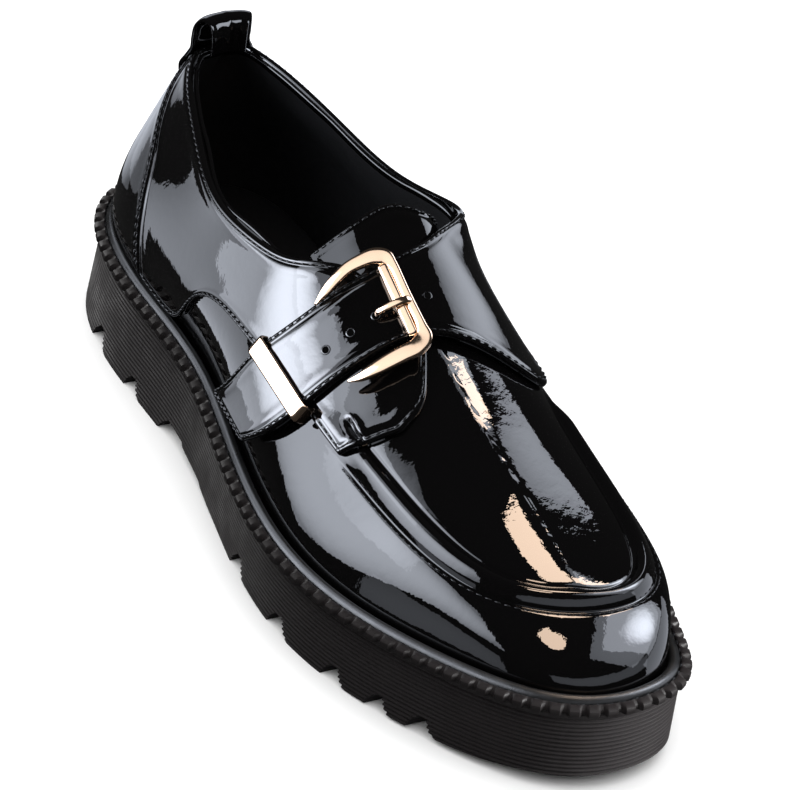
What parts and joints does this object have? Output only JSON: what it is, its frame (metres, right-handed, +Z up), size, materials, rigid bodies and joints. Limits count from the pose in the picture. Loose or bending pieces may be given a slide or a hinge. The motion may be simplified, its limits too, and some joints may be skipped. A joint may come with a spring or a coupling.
{
  "type": "buckle shoe",
  "caption": "Right low shoe in black patent leather with a raised apron seam, a buckled strap over the instep, a heel pull loop and a thick lugged rubber sole.",
  "frame": {"origin": "middle of the bounding box, on the floor under the sole", "axes": "+Z up, heel towards +Y, toe towards -Y, outer side with the buckle towards -X"},
  "size_m": [0.1005, 0.278, 0.0993],
  "materials": {
    "patent_leather": "high gloss patent",
    "sole_rubber": "matte moulded",
    "welt_rubber": "matte moulded",
    "lining": "matte",
    "gold_metal": "polished pale gold"
  },
  "bodies": {
    "root": {"outsole": "sole_rubber", "welt": "welt_rubber", "insole": "lining", "upper": "patent_leather", "tongue": "patent_leather", "lateral_quarter": "patent_leather", "medial_quarter": "patent_leather", "strap": "patent_leather", "heel_counter": "patent_leather", "pull_loop": "patent_leather", "buckle_frame": "gold_metal", "buckle_roller": "gold_metal", "buckle_prong": "gold_metal", "keeper": "gold_metal"}
  },
  "joints": []
}
